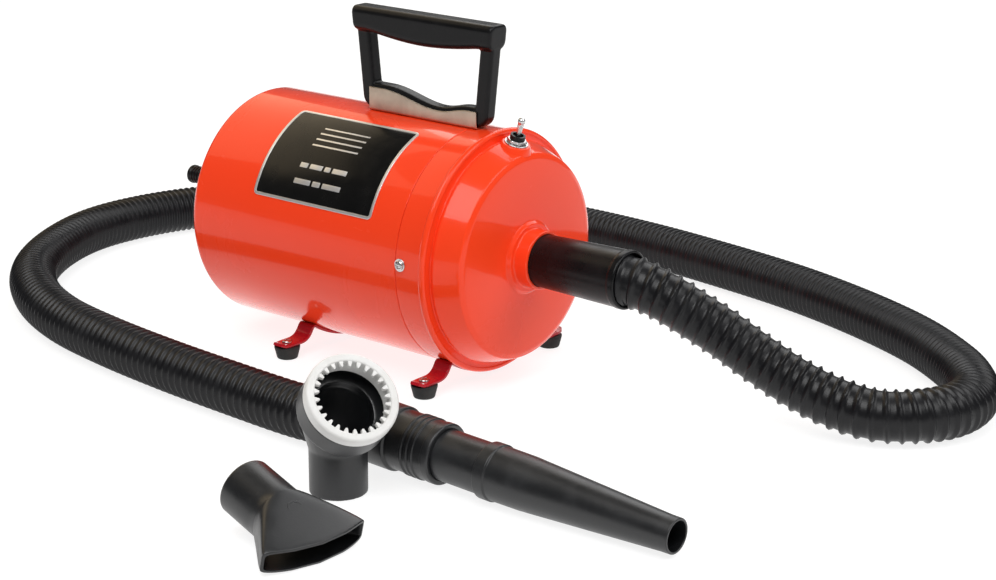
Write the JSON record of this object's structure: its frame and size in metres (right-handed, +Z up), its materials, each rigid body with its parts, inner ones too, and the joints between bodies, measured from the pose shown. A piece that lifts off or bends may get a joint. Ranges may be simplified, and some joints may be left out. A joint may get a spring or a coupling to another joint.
{
  "type": "pet dryer",
  "caption": "Steel canister force dryer on rubber feet with a carrying handle, toggle switch, corrugated hose, narrow nozzle, comb-ring groomer head and flare nozzle.",
  "frame": {"origin": "on the floor, straight below the canister axis and midway between the four feet", "axes": "+X along the canister towards the air outlet, +Z up"},
  "size_m": [0.8962, 0.7404, 0.28],
  "materials": {
    "orange_enamel": "gloss",
    "crimson_enamel": "gloss",
    "black_plastic": "satin",
    "handle_plastic": "satin",
    "hose_plastic": "satin",
    "tool_plastic": "satin",
    "white_plastic": "satin",
    "nickel": "brushed",
    "plate_black": "satin",
    "plate_silver": "satin",
    "screw_steel": "polished",
    "foot_rubber": "matte",
    "gasket_rubber": "matte",
    "filter_foam": "open-cell foam",
    "zinc_steel": "zinc plated",
    "fan_aluminium": "spun",
    "lamination_steel": "varnished",
    "copper_winding": "enamelled wire",
    "brass": "plain",
    "carbon": "matte",
    "lead_insulation": "satin"
  },
  "bodies": {
    "machine": {"canister_shell": "orange_enamel", "front_cap": "orange_enamel", "cap_screws": "screw_steel", "nameplate": "plate_black", "nameplate_frame": "plate_silver", "handle": "handle_plastic", "handle_bracket": "nickel", "handle_bolts": "screw_steel", "rear_foot_strap": "crimson_enamel", "front_foot_strap": "crimson_enamel", "rubber_feet": "foot_rubber", "foot_screws": "screw_steel", "cord_gland": "black_plastic", "gland_nut": "black_plastic", "inner_mains_lead": "lead_insulation", "lead_grommet": "gasket_rubber", "switch_body": "black_plastic", "switch_washer": "screw_steel", "switch_nut": "screw_steel", "switch_leads": "lead_insulation", "bulkhead": "zinc_steel", "fan_gasket": "gasket_rubber", "fan_case": "zinc_steel", "stationary_fan": "fan_aluminium", "motor_base": "zinc_steel", "motor_frame": "zinc_steel", "frame_bolts": "screw_steel", "field_core": "lamination_steel", "field_coil_upper": "copper_winding", "field_coil_lower": "copper_winding", "brush_holder_left": "brass", "brush_holder_right": "brass", "carbon_brush_left": "carbon", "carbon_brush_right": "carbon", "rear_bearing": "screw_steel", "front_bearing": "screw_steel", "mount_ring": "gasket_rubber", "mount_spider": "zinc_steel", "machine_cuff": "hose_plastic", "hose": "hose_plastic", "tool_cuff": "hose_plastic", "connector_tube": "tool_plastic"},
    "toggle": {"toggle_lever": "screw_steel"},
    "rotor": {"motor_shaft": "screw_steel", "armature_core": "lamination_steel", "armature_windings": "copper_winding", "commutator": "copper_winding", "impeller_first": "fan_aluminium", "impeller_second": "fan_aluminium", "impeller_spacer": "fan_aluminium", "impeller_nut": "screw_steel"},
    "nozzle": {"narrow_nozzle": "tool_plastic"},
    "groomer": {"groomer_body": "tool_plastic", "comb_ring": "white_plastic"},
    "flare": {"flare_nozzle": "tool_plastic"},
    "intake_cover": {"filter_cover": "black_plastic", "foam_filter": "filter_foam"}
  },
  "joints": [
    {"name": "toggle_tilt", "type": "hinge", "parent": "machine", "child": "toggle", "pos_m": [0.09976, 0, 0.19209], "axis": [0.9613, 0, -0.2756], "range_deg": [-13, 13]},
    {"name": "rotor_spin", "type": "hinge", "parent": "machine", "child": "rotor", "pos_m": [0, 0, 0.102], "axis": [1, 0, 0], "continuous": true},
    {"name": "nozzle_pull", "type": "slide", "parent": "machine", "child": "nozzle", "axis": [0.9992, 0, -0.0401], "range_m": [0, 0.03]},
    {"name": "groomer_lift", "type": "slide", "parent": "machine", "child": "groomer", "axis": [0, 0, 1], "range_m": [0, 0.15]},
    {"name": "flare_lift", "type": "slide", "parent": "machine", "child": "flare", "axis": [0, 0, 1], "range_m": [0, 0.15]},
    {"name": "cover_pull", "type": "slide", "parent": "machine", "child": "intake_cover", "axis": [-1, 0, 0], "range_m": [0, 0.05]}
  ]
}
